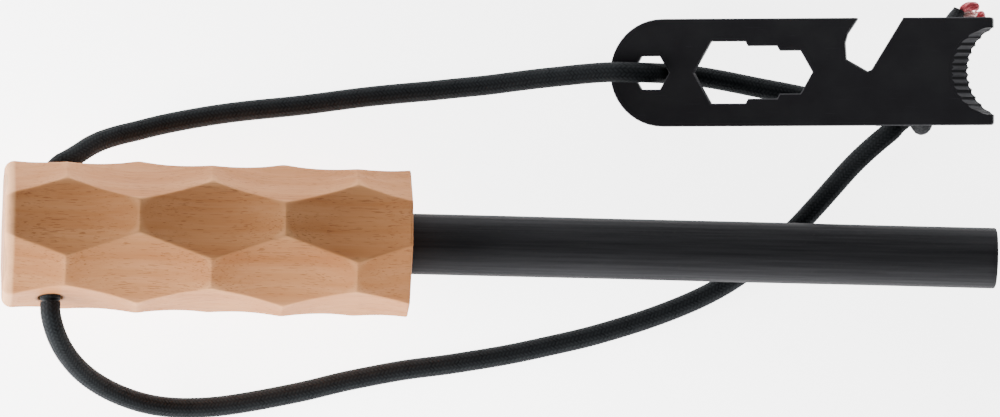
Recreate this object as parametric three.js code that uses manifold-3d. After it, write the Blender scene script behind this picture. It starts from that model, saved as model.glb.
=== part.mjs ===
// Fire starter: a ferrocerium striking rod glued into a faceted wooden handle, with a cord loop
// through the handle's cross hole and a flat multi-tool scraper threaded on the loop.
// Millimetres, +Z up. The set lies on a table: the handle on the corner of its rod end, the rod
// on the cord that crosses under it, and the scraper on that cord and on the cord's knot.
// +X runs along the rod in plan, +Y towards the scraper.
import * as THREE from 'three';
import { mergeVertices } from 'three/addons/utils/BufferGeometryUtils.js';
import Module from 'manifold-3d';

const wasm = await Module();
wasm.setup();

// Handle: a turned beech blank with eight rows of shallow scoops cut along it.
const handleLength = 84.5;
const blankRadius = 15.7;
const buttRound = 3;
const faceChamfer = 0.5;
const facetRows = 8;
const scoopPitch = 30.2;
const scoopDepth = 2.0;
const scoopFloor = 13.4;
const firstScoopFromButt = 12.8;
const crossHoleRadius = 2.6;
const crossHoleFromButt = 10.1;
const handleRoll = THREE.MathUtils.degToRad(17.3);

// Ferrocerium rod, a half-inch stock bar six inches long, and the adhesive that seats it.
const rodRadius = 6.35;
const rodLength = 152.4;
const rodInHandle = 30;
const rodChamfer = 0.45;
const adhesiveWall = 0.3;
const adhesiveBase = 1;
const adhesiveGap = 0.15;

// Cord: a round braided sheath, tied off in a two-strand stopper knot.
const cordRadius = 2;
const knotCordRadius = 1.4;
const knotGap = 0.4;
const tinderRadius = 0.6;
const tinderReach = 2.6;
const yarnRadius = 0.5;
const yarnReach = 1.6;
const coreSpread = 0.75;
const tailRadius = 1.9;
const upperRunInHole = 2.6;

// Scraper: a pressed and hardened steel plate.
const scraperLength = 80.3;
const scraperWidth = 22;
const scraperThickness = 2.5;
const scraperEdge = 0.2;
const tipCorner = 0.7;
const bitFlats = 6.75;
const bitHoleX = 8.5;
const wrenchFlats = [12.6, 10.7, 8.7];
const wrenchX = [24.8, 32, 37.5];
const openerX = 49.3;
const openerWidth = 12.3;
const openerDepth = 10.9;
const openerCorner = 0.6;
const edgeArcRadius = 9.8;
const edgeArcX = 84.8;
const bevelArcRadius = 8.96;
const bevelArcX = 81;
const edgeSweep = 1.25;
const toothPitch = 1.15;
const toothDepth = 0.45;

// Seats and clearances between pieces that touch, and the overrun of every cutter.
const seatGap = 0.3;
const tableGap = 0.05;
const overrun = 2;

// Places on the table, measured from the middle of the handle's rod end.
const rodRestX = 74.7;
const scraperX = 41.3;
const scraperY = 36.6;
const scraperTurn = THREE.MathUtils.degToRad(1.65);
const cordUnderScraperX = 49.5;
const knotX = 105.2;
const knotY = 32.5;
const knotTurn = THREE.MathUtils.degToRad(40);

// The opener's outline, as shares of its width and depth, from the top left corner.
const openerOutlineShares = [
  [0.23, 0],
  [0.04, 0.31],
  [0, 0.47],
  [0.016, 0.77],
  [0.38, 1],
  [0.455, 0.97],
  [1, 0],
];

// Facets of round pieces, and steps along curved ones.
const roundSides = 48;
const holeSides = 24;
const buttSteps = 5;
const scoopSteps = 9;
const scraperEndSteps = 24;
const cornerSteps = 4;
const toothSteps = 6;
const cordSides = 10;
const thinSides = 8;
const runSteps = { upper: 72, eyelet: 30, lower: 32 };
const wrapSteps = 6;
const strandSteps = 44;
const tailSteps = 8;
const gapSamples = 160;
const weldTolerance = 1e-4;

// Boolean work on closed meshes.

function toSolid(geometry) {
  const bare = geometry.clone();
  bare.deleteAttribute('normal');
  bare.deleteAttribute('uv');
  const merged = mergeVertices(bare, weldTolerance);
  return new wasm.Manifold(
    new wasm.Mesh({
      numProp: 3,
      vertProperties: new Float32Array(merged.attributes.position.array),
      triVerts: new Uint32Array(merged.index.array),
    }),
  );
}

function toGeometry(solid) {
  const mesh = solid.getMesh();
  const geometry = new THREE.BufferGeometry();
  geometry.setAttribute('position', new THREE.BufferAttribute(mesh.vertProperties, 3));
  geometry.setIndex(new THREE.BufferAttribute(mesh.triVerts, 1));
  const flat = geometry.toNonIndexed();
  flat.computeVertexNormals();
  return flat;
}

function cutAll(geometry, cutters) {
  let solid = toSolid(geometry);
  for (const cutter of cutters) solid = solid.subtract(toSolid(cutter));
  return toGeometry(solid);
}

// A profile of [radius, x] points turned about the X axis.
function turned(profile, sides) {
  const points = profile.map(([radius, x]) => new THREE.Vector2(radius, x));
  const geometry = new THREE.LatheGeometry(points, sides);
  return geometry.rotateZ(-Math.PI / 2);
}

function barAlongY(radius, length, sides) {
  return new THREE.CylinderGeometry(radius, radius, length, sides);
}

// Handle, in its own frame: the rod end's face at x = 0, the butt at -handleLength.

const scoopRadius = ((scoopPitch / 2) ** 2 + scoopDepth ** 2) / (2 * scoopDepth);
const adhesiveOuter = rodRadius + adhesiveGap + adhesiveWall;
const boreRadius = adhesiveOuter + adhesiveGap;
const boreDepth = rodInHandle + adhesiveGap + adhesiveBase + adhesiveGap;
const crossHoleX = crossHoleFromButt - handleLength;
const mouthReach = scoopFloor + seatGap;

function handleBlank() {
  const profile = [[0, -handleLength]];
  for (let i = 0; i <= buttSteps; i += 1) {
    const angle = (i / buttSteps) * (Math.PI / 2);
    const radius = blankRadius - buttRound * (1 - Math.sin(angle));
    const x = -handleLength + buttRound * (1 - Math.cos(angle));
    profile.push([radius, x]);
  }
  profile.push([blankRadius, -faceChamfer]);
  profile.push([blankRadius - faceChamfer, 0]);
  profile.push([0, 0]);
  return turned(profile, roundSides);
}

// The cutter of one row leaves a chain of concave scoops, one pitch apart, each an arc along
// the handle and straight across it.
function scoopRowCutter(row) {
  const shift = row % 2 === 0 ? 0 : scoopPitch / 2;
  const first = -handleLength + firstScoopFromButt - shift;
  const count = Math.ceil((handleLength + scoopPitch) / scoopPitch);
  const top = blankRadius + overrun;
  const halfAngle = Math.asin(scoopPitch / 2 / scoopRadius);
  const shape = new THREE.Shape();
  shape.moveTo(first - scoopPitch, top);
  for (let i = -1; i <= count; i += 1) {
    for (let k = i === -1 ? 0 : 1; k <= scoopSteps; k += 1) {
      const angle = halfAngle * ((2 * k) / scoopSteps - 1);
      const x = first + i * scoopPitch + scoopRadius * Math.sin(angle);
      shape.lineTo(x, scoopFloor + scoopRadius * (1 - Math.cos(angle)));
    }
  }
  shape.lineTo(first + (count + 1) * scoopPitch, top);
  const cutter = new THREE.ExtrudeGeometry(shape, { depth: 2 * blankRadius, bevelEnabled: false });
  cutter.translate(0, 0, -blankRadius);
  cutter.rotateX(Math.PI / 2);
  return cutter.rotateX((row * 2 * Math.PI) / facetRows);
}

function handleGeometry() {
  const cutters = [];
  for (let row = 0; row < facetRows; row += 1) cutters.push(scoopRowCutter(row));
  const bore = barAlongY(boreRadius, boreDepth + overrun, roundSides).rotateZ(-Math.PI / 2);
  bore.translate((overrun - boreDepth) / 2, 0, 0);
  cutters.push(bore);
  const hole = barAlongY(crossHoleRadius, 2 * (blankRadius + overrun), holeSides);
  cutters.push(hole.translate(crossHoleX, 0, 0));
  return cutAll(handleBlank(), cutters);
}

function rodGeometry() {
  const reach = rodLength - rodInHandle;
  const profile = [
    [0, -rodInHandle],
    [rodRadius - rodChamfer, -rodInHandle],
    [rodRadius, rodChamfer - rodInHandle],
    [rodRadius, reach - rodChamfer],
    [rodRadius - rodChamfer, reach],
    [0, reach],
  ];
  return turned(profile, roundSides);
}

// The adhesive is a thin cup round the seated end of the rod, flush with the handle's face.
function adhesiveGeometry() {
  const base = -rodInHandle - adhesiveGap;
  const inner = rodRadius + adhesiveGap;
  const profile = [
    [0, base - adhesiveBase],
    [adhesiveOuter, base - adhesiveBase],
    [adhesiveOuter, 0],
    [inner, 0],
    [inner, base],
    [0, base],
  ];
  return turned(profile, roundSides);
}

// How the striker lies: nose down, from the handle's lowest corner to the cord under the rod.

// Distance of a scoop row's surface from the axis, at x.
function rowHeight(row, x) {
  const shift = row % 2 === 0 ? 0 : scoopPitch / 2;
  const first = -handleLength + firstScoopFromButt - shift;
  const along = x - first - scoopPitch * Math.round((x - first) / scoopPitch);
  return scoopFloor + scoopRadius - Math.sqrt(scoopRadius ** 2 - along ** 2);
}

// The lowest point of the faceted end face below the axis, with the handle rolled as it lies.
function endFaceDrop() {
  const step = (2 * Math.PI) / facetRows;
  let drop = 0;
  for (let row = 0; row < facetRows; row += 1) {
    const a = rowHeight(row, 0);
    const b = rowHeight(row + 1, 0);
    const across = (b - a * Math.cos(step)) / Math.sin(step);
    const radius = Math.min(Math.hypot(a, across), blankRadius);
    const angle = row * step + Math.atan2(across, a) - handleRoll;
    drop = Math.max(drop, -radius * Math.cos(angle));
  }
  return drop;
}

const cordTop = tableGap + 2 * cordRadius;
const endDrop = endFaceDrop();
const strikerTilt = Math.atan2(endDrop - rodRadius - cordTop - seatGap, rodRestX);
const strikerZ = tableGap + endDrop * Math.cos(strikerTilt);
const restsZ = tableGap + cordRadius;

// A point given in the striker's own frame, as it lies on the table.
function onStriker(x, y, z) {
  const point = new THREE.Vector3(x, y, z);
  point.applyAxisAngle(new THREE.Vector3(1, 0, 0), -handleRoll);
  point.applyAxisAngle(new THREE.Vector3(0, 1, 0), strikerTilt);
  return point.add(new THREE.Vector3(0, 0, strikerZ));
}

// Cord.

function ringShape(radius, sides) {
  const shape = new THREE.Shape();
  for (let i = 0; i < sides; i += 1) {
    const angle = (2 * Math.PI * i) / sides;
    const point = [radius * Math.cos(angle), radius * Math.sin(angle)];
    if (i === 0) shape.moveTo(...point);
    else shape.lineTo(...point);
  }
  shape.closePath();
  return shape;
}

function tube(curve, radius, sides, steps) {
  return new THREE.ExtrudeGeometry(ringShape(radius, sides), { extrudePath: curve, steps });
}

function curveThrough(points) {
  const vectors = points.map((p) => (p.isVector3 ? p : new THREE.Vector3(...p)));
  return new THREE.CatmullRomCurve3(vectors, false, 'centripetal');
}

// The knot: each strand runs in through the core, bends out and back round the outside for
// three quarters of a turn, and bends in to run out through the core again. The second strand
// is the first one turned by half a turn.
const coreStep = 2 * knotCordRadius + knotGap;
const coreRadius = coreStep / Math.SQRT2;
const wrapRadius = 1.5 * coreStep;
const wrapAngle = 1.5 * Math.PI;
const wrapPitchShare = 2.93;
const wrapStartShare = 0.172;
const wrapRoundShares = [1.07, 0.1];
const bightShares = [0.8, 1.38, 0.068];
const coreLineShares = [1.7, 1, 0.4, 0];
const knotHalf = wrapRadius * (wrapRoundShares[0] - wrapRoundShares[1] / 2) + knotCordRadius;
const knotZ = tableGap + knotHalf;

// The knot's own axes: along it, to its right and up.
function inKnot(along, radius, angle) {
  const side = radius * Math.cos(angle);
  return new THREE.Vector3(
    knotX + along * Math.cos(knotTurn) + side * Math.sin(knotTurn),
    knotY + along * Math.sin(knotTurn) - side * Math.cos(knotTurn),
    knotZ + radius * Math.sin(angle),
  );
}

function strandPoints(startAngle) {
  const endAngle = startAngle - wrapAngle;
  const [bightReach, bightWidth, bightTurn] = bightShares;
  const [wide, squareness] = wrapRoundShares;
  const lineIn = coreLineShares.map((share) => inKnot(-share * coreStep, coreRadius, startAngle));
  const lineOut = coreLineShares.map((share) => inKnot(share * coreStep, coreRadius, endAngle));
  const bight = [bightReach * coreStep, bightWidth * coreRadius, bightTurn * wrapAngle];
  const points = [...lineIn, inKnot(bight[0], bight[1], startAngle - bight[2])];
  for (let i = 0; i <= wrapSteps; i += 1) {
    const share = wrapStartShare + (1 - 2 * wrapStartShare) * (i / wrapSteps);
    const angle = startAngle - share * wrapAngle;
    const radius = wrapRadius * (wide - squareness * Math.cos(4 * angle));
    points.push(inKnot(wrapPitchShare * (0.5 - share) * coreStep, radius, angle));
  }
  return [...points, inKnot(-bight[0], bight[1], endAngle + bight[2]), ...lineOut.reverse()];
}

const strandStart = { a: 1.25 * Math.PI, b: 0.25 * Math.PI };
const strandCurves = {
  a: curveThrough(strandPoints(strandStart.a)),
  b: curveThrough(strandPoints(strandStart.b)),
};

// The least gap between two strands, or between the parts of one that lie apart along it.
function leastGap(first, second, apart) {
  const from = first.getSpacedPoints(gapSamples);
  const to = second.getSpacedPoints(gapSamples);
  const stepLength = first.getLength() / gapSamples;
  let least = Infinity;
  for (let i = 0; i <= gapSamples; i += 1) {
    for (let j = 0; j <= gapSamples; j += 1) {
      if (Math.abs(i - j) * stepLength >= apart) {
        least = Math.min(least, from[i].distanceTo(to[j]));
      }
    }
  }
  return least - 2 * knotCordRadius;
}

const alongItself = 2.6 * coreStep;
console.log('least gap between the knot strands', leastGap(strandCurves.a, strandCurves.b, 0));
console.log('least gap of one strand', leastGap(strandCurves.a, strandCurves.a, alongItself));

// Scraper, in its own frame: the round end's tip at x = 0, the lower face at z = 0.

// A hexagonal hole with two flats along X; the narrower wrench sizes run on from the widest.
function hexagonChain(flats, places) {
  const half = [];
  flats.forEach((across, i) => {
    const corner = across / Math.sqrt(3);
    const next = i + 1 < flats.length ? flats[i + 1] / 2 : 0;
    if (i === 0) half.push([places[i] - corner, 0], [places[i] - corner / 2, -across / 2]);
    half.push([places[i] + corner / 2, -across / 2]);
    half.push([places[i] + corner - next / Math.sqrt(3), -next]);
  });
  const mirrored = half.slice(1, -1).reverse().map(([x, y]) => [x, -y]);
  return [...half, ...mirrored];
}

function pathThrough(target, points) {
  points.forEach(([x, y], i) => {
    if (i === 0) target.moveTo(x, y);
    else target.lineTo(x, y);
  });
  return target;
}

// A corner of the outline, rounded by its radius with a few points.
function roundedCorner(before, corner, after, radius) {
  const at = new THREE.Vector2(...corner);
  const inward = new THREE.Vector2(...before).sub(at).normalize().multiplyScalar(radius).add(at);
  const outward = new THREE.Vector2(...after).sub(at).normalize().multiplyScalar(radius).add(at);
  const curve = new THREE.QuadraticBezierCurve(inward, at, outward);
  return curve.getPoints(cornerSteps).map((p) => [p.x, p.y]);
}

function scraperOutline() {
  const half = scraperWidth / 2;
  const points = [];
  for (let i = 0; i <= scraperEndSteps; i += 1) {
    const angle = Math.PI * (1.5 - i / scraperEndSteps);
    points.push([half + half * Math.cos(angle), half * Math.sin(angle)]);
  }
  const opener = openerOutlineShares.map(([along, down]) => [
    openerX + along * openerWidth,
    half - down * openerDepth,
  ]);
  points.push(...roundedCorner([half, half], opener[0], opener[1], openerCorner));
  points.push(...opener.slice(1));
  const corners = [[scraperLength, half], [scraperLength, -half]];
  points.push(...roundedCorner(opener.at(-1), corners[0], corners[1], tipCorner));
  points.push(...roundedCorner(corners[0], corners[1], [half, -half], tipCorner));
  return points;
}

// The cutter of the serrated edge: a fluted face that slopes from a wide arc in the upper face
// to the cutting edge in the lower one.
function edgeCutter() {
  const teeth = Math.round((2 * edgeSweep * edgeArcRadius) / toothPitch);
  const count = teeth * toothSteps;
  const levels = [
    { z: -overrun, share: -overrun / scraperThickness },
    { z: scraperThickness + overrun, share: 1 + overrun / scraperThickness },
  ];
  const rings = levels.map(({ z, share }) => {
    const centre = edgeArcX + (bevelArcX - edgeArcX) * share;
    const arc = edgeArcRadius + (bevelArcRadius - edgeArcRadius) * share;
    const ring = [];
    for (let i = 0; i <= count; i += 1) {
      const angle = Math.PI - edgeSweep + (2 * edgeSweep * i) / count;
      const flute = toothDepth * Math.abs(Math.sin((Math.PI * i) / toothSteps));
      const radius = arc + flute;
      ring.push([centre + radius * Math.cos(angle), radius * Math.sin(angle), z]);
    }
    const right = scraperLength + edgeArcRadius;
    ring.push([right, -arc, z], [right, arc, z]);
    return ring;
  });
  return loftBetween(rings[0], rings[1]);
}

// A closed body between two rings of as many points, each seen whole from its own middle.
function loftBetween(lower, upper) {
  const middle = (ring) => {
    const sum = ring.reduce((a, p) => [a[0] + p[0], a[1] + p[1], a[2] + p[2]], [0, 0, 0]);
    return sum.map((v) => v / ring.length);
  };
  const middles = [middle(lower), middle(upper)];
  middles.forEach((m) => {
    m[0] = scraperLength + overrun;
    m[1] = 0;
  });
  const corners = [];
  for (let i = 0; i < lower.length; i += 1) {
    const next = (i + 1) % lower.length;
    corners.push(...lower[i], ...upper[next], ...upper[i]);
    corners.push(...lower[i], ...lower[next], ...upper[next]);
    corners.push(...middles[0], ...lower[next], ...lower[i]);
    corners.push(...middles[1], ...upper[i], ...upper[next]);
  }
  const geometry = new THREE.BufferGeometry();
  geometry.setAttribute('position', new THREE.Float32BufferAttribute(corners, 3));
  return geometry;
}

function scraperGeometry() {
  const shape = pathThrough(new THREE.Shape(), scraperOutline());
  shape.holes.push(pathThrough(new THREE.Path(), hexagonChain([bitFlats], [bitHoleX])));
  shape.holes.push(pathThrough(new THREE.Path(), hexagonChain(wrenchFlats, wrenchX)));
  const plate = new THREE.ExtrudeGeometry(shape, {
    depth: scraperThickness - 2 * scraperEdge,
    bevelThickness: scraperEdge,
    bevelSize: scraperEdge,
    bevelOffset: -scraperEdge,
    bevelSegments: 1,
  });
  plate.translate(0, 0, scraperEdge);
  return cutAll(plate, [edgeCutter()]);
}

// How the scraper lies: its underside rests on the cord near the bit hole and on the knot.
const knotTop = knotZ + knotHalf;
const scraperTilt = Math.atan2(knotTop - cordTop, knotX - cordUnderScraperX);
const scraperZ = cordTop + seatGap - (cordUnderScraperX - scraperX) * Math.tan(scraperTilt);

// Materials, with the colours of the photographed set.
function finish(color, roughness, metalness) {
  return new THREE.MeshStandardMaterial({ color, roughness, metalness });
}

const beech = finish(0xc79a6e, 0.6, 0);
const ferro = finish(0x3a3a3c, 0.55, 0.6);
const epoxy = finish(0xb8a070, 0.3, 0);
const blackCoat = finish(0x1e1d21, 0.5, 0.3);
const cordBlack = finish(0x212022, 0.9, 0);
const tinderRed = finish(0xb02030, 0.8, 0);
const yarnWhite = finish(0xe6dcd6, 0.9, 0);

function named(name, geometry, material) {
  const mesh = new THREE.Mesh(geometry, material);
  mesh.name = name;
  return mesh;
}

// Cord routes, as points on the table. The cord leaves the lower mouth of the cross hole,
// comes down to the table, climbs over the scraper's round end and goes down through its bit
// hole; the other run leaves the upper mouth, swings wide and passes under the rod.
const upperRoute = [
  [-74.85, 10.89, 16.4],
  [-74.82, 11.75, 16.13],
  [-74.5, 12.9, 15.76],
  [-73.8, 13.95, 15.4],
  [-72.8, 14.9, 15],
  [-71.4, 15.7, 14.3],
  [-69.4, 16.95, 12.8],
  [-67, 18.6, 10.7],
  [-64.5, 19.9, 8.7],
  [-61.2, 21.1, 6.6],
  [-57.2, 22.2, 4.7],
  [-52.1, 23.6, 3.1],
  [-44.3, 25.3, 2.2],
  [-33.9, 27.0, restsZ],
  [-23.5, 28.3, restsZ],
  [-13.1, 29.9, restsZ],
  [-2.8, 31.3, restsZ],
  [4, 32.05, restsZ],
  [10, 32.8, 2.15],
  [15.5, 33.5, 2.7],
  [20.5, 34.25, 3.6],
  [26, 35.1, 4.92],
];
const eyeletRoute = [
  [26.5, 35.17, 5.06],
  [31.5, 35.8, 6.38],
  [36.3, 36.35, 7.66],
  [39.4, 36.65, 8.48],
  [40.92, 36.76, 8.86],
  [42.43, 36.83, 9.12],
  [43.96, 36.85, 9.11],
  [45.46, 36.85, 8.78],
  [46.87, 36.85, 8.17],
  [48.13, 36.85, 7.3],
  [49.15, 36.85, 6.28],
  [50.3, 36.85, 4.9],
  [51.31, 36.85, 3.88],
  [52.55, 36.85, 3.03],
  [53.93, 36.8, 2.43],
  [55.39, 36.75, 2.12],
  [56.9, 36.6, restsZ],
  [60, 36.3, restsZ],
  [65, 35.55, restsZ],
  [71.8, 34.4, restsZ],
  [80, 33.0, restsZ],
  [86.5, 31.7, 2.3],
  [91.5, 30.3, 3.2],
  [95.4, 29.3, 4.3],
  [97.8, 29.0, 4.7],
  [99.5, 29.8, 4.75],
];
const lowerRoute = [
  [-74, -13.79, 24.04],
  [-73.9, -16, 24.2],
  [-73.3, -18.6, 23.4],
  [-72.3, -21.4, 21.7],
  [-70.7, -24.4, 19.1],
  [-68.2, -27.5, 15.8],
  [-64.7, -30.3, 12],
  [-60.1, -32.8, 8.3],
  [-54.6, -34.6, 5.2],
  [-48.6, -35.4, 3.1],
  [-41.6, -35.2, 2.2],
  [-32.4, -33.8, restsZ],
  [-22, -31.5, restsZ],
  [-11.7, -28.8, restsZ],
  [-1.3, -26.6, restsZ],
  [9.1, -24.9, restsZ],
  [19.4, -23, restsZ],
  [29.8, -20.6, restsZ],
  [40.1, -17.8, restsZ],
  [50.5, -14.3, restsZ],
  [60.9, -9.8, restsZ],
  [69.1, -4.8, restsZ],
  [75.2, 0.4, restsZ],
  [80.4, 5.2, restsZ],
  [84.4, 9.7, 2.2],
  [88.2, 14.2, 2.9],
  [91.8, 18.4, 4.6],
  [95.4, 22.1, 6.5],
  [98.6, 25, 7.7],
  [101.75, 27.55, 7.95],
];
// The tails, from the knot to their cut ends.
const tailRoutes = {
  a: [
    [110.82, 35.12, 4.75],
    [111.7, 36.1, 4.55],
    [112.1, 38, 4.1],
    [112.2, 41, 3.4],
    [112.6, 44.4, 2.8],
    [114.1, 47.5, 2.5],
    [116.1, 49.8, 2.3],
  ],
  b: [
    [108.77, 37.6, 7.95],
    [109.75, 39, 7.9],
    [110.4, 41, 7.7],
    [110.9, 43.8, 7.4],
    [111.5, 46.9, 6.9],
    [112.6, 49.8, 6.3],
  ],
};

// The cores stand out of a tail's cut end, side by side: the tinder strand and the yarns.
function coreStub(curve, sideShare, radius, reach) {
  const end = curve.getPoint(1);
  const along = curve.getTangent(1);
  const side = new THREE.Vector3(-along.y, along.x, 0).normalize();
  const start = end.clone().addScaledVector(along, seatGap);
  start.addScaledVector(side, sideShare * coreSpread);
  const tip = start.clone().addScaledVector(along, reach);
  return tube(new THREE.LineCurve3(start, tip), radius, thinSides, 1);
}

const routes = {
  lanyard_upper_run: { curve: curveThrough(upperRoute), steps: runSteps.upper },
  lanyard_eyelet_run: { curve: curveThrough(eyeletRoute), steps: runSteps.eyelet },
  lanyard_lower_run: { curve: curveThrough(lowerRoute), steps: runSteps.lower },
};

const striker = new THREE.Group();
striker.add(named('handle', handleGeometry(), beech));
striker.add(named('ferro_rod', rodGeometry(), ferro));
striker.add(named('rod_adhesive', adhesiveGeometry(), epoxy));
const throughHole = barAlongY(cordRadius, 2 * mouthReach - upperRunInHole, cordSides);
throughHole.translate(crossHoleX, -upperRunInHole / 2, 0);
striker.add(named('lanyard_in_handle', throughHole, cordBlack));
striker.rotation.set(-handleRoll, strikerTilt, 0, 'YXZ');
striker.position.z = strikerZ;

const scraper = named('scraper', scraperGeometry(), blackCoat);
scraper.rotation.set(0, -scraperTilt, scraperTurn, 'ZYX');
scraper.position.set(scraperX, scraperY, scraperZ);

const set = new THREE.Group();
set.add(striker, scraper);
for (const [name, { curve, steps }] of Object.entries(routes)) {
  set.add(named(name, tube(curve, cordRadius, cordSides, steps), cordBlack));
}
for (const key of ['a', 'b']) {
  const strand = tube(strandCurves[key], knotCordRadius, thinSides, strandSteps);
  const tailCurve = curveThrough(tailRoutes[key]);
  set.add(named('knot_strand_' + key, strand, cordBlack));
  set.add(named('tail_' + key, tube(tailCurve, tailRadius, thinSides, tailSteps), cordBlack));
  const tinder = coreStub(tailCurve, 1, tinderRadius, tinderReach);
  set.add(named('tinder_core_' + key, tinder, tinderRed));
  set.add(named('core_yarns_' + key, coreStub(tailCurve, -1, yarnRadius, yarnReach), yarnWhite));
}

// The origin is on the table under the middle of the handle, rod and scraper.
const reachLeft = handleLength * Math.cos(strikerTilt);
const reachRight = (rodLength - rodInHandle) * Math.cos(strikerTilt);
const reachFar = scraperY + scraperLength * Math.sin(scraperTurn) + scraperWidth / 2;
set.position.x = (reachLeft - reachRight) / 2;
set.position.y = (blankRadius - reachFar) / 2;

const root = new THREE.Group();
root.add(set);

export default root;
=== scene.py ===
# Looks of the fire starter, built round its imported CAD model. Metres, in the row frame.
import math

import bmesh
import bpy
import numpy as np
from mathutils import Matrix, Vector


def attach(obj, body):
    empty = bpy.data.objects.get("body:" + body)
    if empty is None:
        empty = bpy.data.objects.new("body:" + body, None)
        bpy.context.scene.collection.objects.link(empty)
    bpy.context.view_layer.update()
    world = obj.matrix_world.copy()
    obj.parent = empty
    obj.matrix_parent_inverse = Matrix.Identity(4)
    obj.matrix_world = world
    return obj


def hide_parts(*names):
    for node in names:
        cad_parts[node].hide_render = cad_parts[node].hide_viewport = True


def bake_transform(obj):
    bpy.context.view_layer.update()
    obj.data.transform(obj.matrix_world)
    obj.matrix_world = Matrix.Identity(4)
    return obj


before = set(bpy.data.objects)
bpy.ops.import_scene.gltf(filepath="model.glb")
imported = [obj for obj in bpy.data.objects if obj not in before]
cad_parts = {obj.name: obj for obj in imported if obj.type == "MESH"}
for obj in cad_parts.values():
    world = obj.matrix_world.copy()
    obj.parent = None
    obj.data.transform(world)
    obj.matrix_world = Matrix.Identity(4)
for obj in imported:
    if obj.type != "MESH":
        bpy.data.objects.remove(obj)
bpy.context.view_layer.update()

MM = 0.001

# Sizes and places that part.mjs also has or works out, in millimetres and radians.
HANDLE_LENGTH = 84.5
BLANK_RADIUS = 15.7
FACE_CHAMFER = 0.5
SCOOP_ROWS = 8
SCOOP_PITCH = 30.2
SCOOP_DEPTH = 2.0
SCOOP_FLOOR = 13.4
FIRST_SCOOP_FROM_BUTT = 12.8
CROSS_HOLE_RADIUS = 2.6
CROSS_HOLE_FROM_BUTT = 10.1
HANDLE_ROLL = math.radians(17.3)
ROD_RADIUS = 6.35
ROD_LENGTH = 152.4
ROD_IN_HANDLE = 30.0
ROD_CHAMFER = 0.45
BORE_RADIUS = 6.95
BORE_DEPTH = 31.3
CORD_RADIUS = 2.0
TAIL_RADIUS = 1.9
KNOT_CORD_RADIUS = 1.4
KNOT_GAP = 0.4
TABLE_GAP = 0.05
STRIKER_HEIGHT = 15.2495
STRIKER_TILT = math.radians(3.4686)
KNOT_X = 105.2
KNOT_Y = 32.5
KNOT_TURN = math.radians(40)
RESTS_Z = TABLE_GAP + CORD_RADIUS

# The table's zero, under the middle of the handle's rod end, in the row frame.
SHIFT = np.array([-18.9153, -17.1061, 0.0])

# Cord routes, as part.mjs has them.
UPPER_ROUTE = [
    (-74.85, 10.89, 16.4), (-74.82, 11.75, 16.13), (-74.5, 12.9, 15.76), (-73.8, 13.95, 15.4),
    (-72.8, 14.9, 15.0), (-71.4, 15.7, 14.3), (-69.4, 16.95, 12.8), (-67.0, 18.6, 10.7),
    (-64.5, 19.9, 8.7), (-61.2, 21.1, 6.6), (-57.2, 22.2, 4.7), (-52.1, 23.6, 3.1),
    (-44.3, 25.3, 2.2), (-33.9, 27.0, RESTS_Z), (-23.5, 28.3, RESTS_Z), (-13.1, 29.9, RESTS_Z),
    (-2.8, 31.3, RESTS_Z), (4.0, 32.05, RESTS_Z), (10.0, 32.8, 2.15), (15.5, 33.5, 2.7),
    (20.5, 34.25, 3.6), (26.0, 35.1, 4.92),
]
EYELET_ROUTE = [
    (31.5, 35.8, 6.38), (36.3, 36.35, 7.66), (39.4, 36.65, 8.48), (40.92, 36.76, 8.86),
    (42.43, 36.83, 9.12), (43.96, 36.85, 9.11), (45.46, 36.85, 8.78), (46.87, 36.85, 8.17),
    (48.13, 36.85, 7.3), (49.15, 36.85, 6.28), (50.3, 36.85, 4.9), (51.31, 36.85, 3.88),
    (52.55, 36.85, 3.03), (53.93, 36.8, 2.43), (55.39, 36.75, 2.12), (56.9, 36.6, RESTS_Z),
    (60.0, 36.3, RESTS_Z), (65.0, 35.55, RESTS_Z), (71.8, 34.4, RESTS_Z), (80.0, 33.0, RESTS_Z),
    (86.5, 31.7, 2.3), (91.5, 30.3, 3.2), (95.4, 29.3, 4.3), (97.8, 29.0, 4.7), (99.5, 29.8, 4.75),
]
LOWER_ROUTE = [
    (-74.0, -13.79, 24.04), (-73.9, -16.0, 24.2), (-73.3, -18.6, 23.4), (-72.3, -21.4, 21.7),
    (-70.7, -24.4, 19.1), (-68.2, -27.5, 15.8), (-64.7, -30.3, 12.0), (-60.1, -32.8, 8.3),
    (-54.6, -34.6, 5.2), (-48.6, -35.4, 3.1), (-41.6, -35.2, 2.2), (-32.4, -33.8, RESTS_Z),
    (-22.0, -31.5, RESTS_Z), (-11.7, -28.8, RESTS_Z), (-1.3, -26.6, RESTS_Z),
    (9.1, -24.9, RESTS_Z), (19.4, -23.0, RESTS_Z), (29.8, -20.6, RESTS_Z), (40.1, -17.8, RESTS_Z),
    (50.5, -14.3, RESTS_Z), (60.9, -9.8, RESTS_Z), (69.1, -4.8, RESTS_Z), (75.2, 0.4, RESTS_Z),
    (80.4, 5.2, RESTS_Z), (84.4, 9.7, 2.2), (88.2, 14.2, 2.9), (91.8, 18.4, 4.6),
    (95.4, 22.1, 6.5), (98.6, 25.0, 7.7), (101.75, 27.55, 7.95),
]
TAIL_ROUTES = {
    "a": [
        (110.82, 35.12, 4.75), (111.7, 36.1, 4.55), (112.1, 38.0, 4.1), (112.2, 41.0, 3.4),
        (112.6, 44.4, 2.8), (114.1, 47.5, 2.5), (116.1, 49.8, 2.3),
    ],
    "b": [
        (108.77, 37.6, 7.95), (109.75, 39.0, 7.9), (110.4, 41.0, 7.7), (110.9, 43.8, 7.4),
        (111.5, 46.9, 6.9), (112.6, 49.8, 6.3),
    ],
}

rng = np.random.default_rng(7)


# Camera: straight down on the table through a long lens, turned a little about the vertical.

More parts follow.
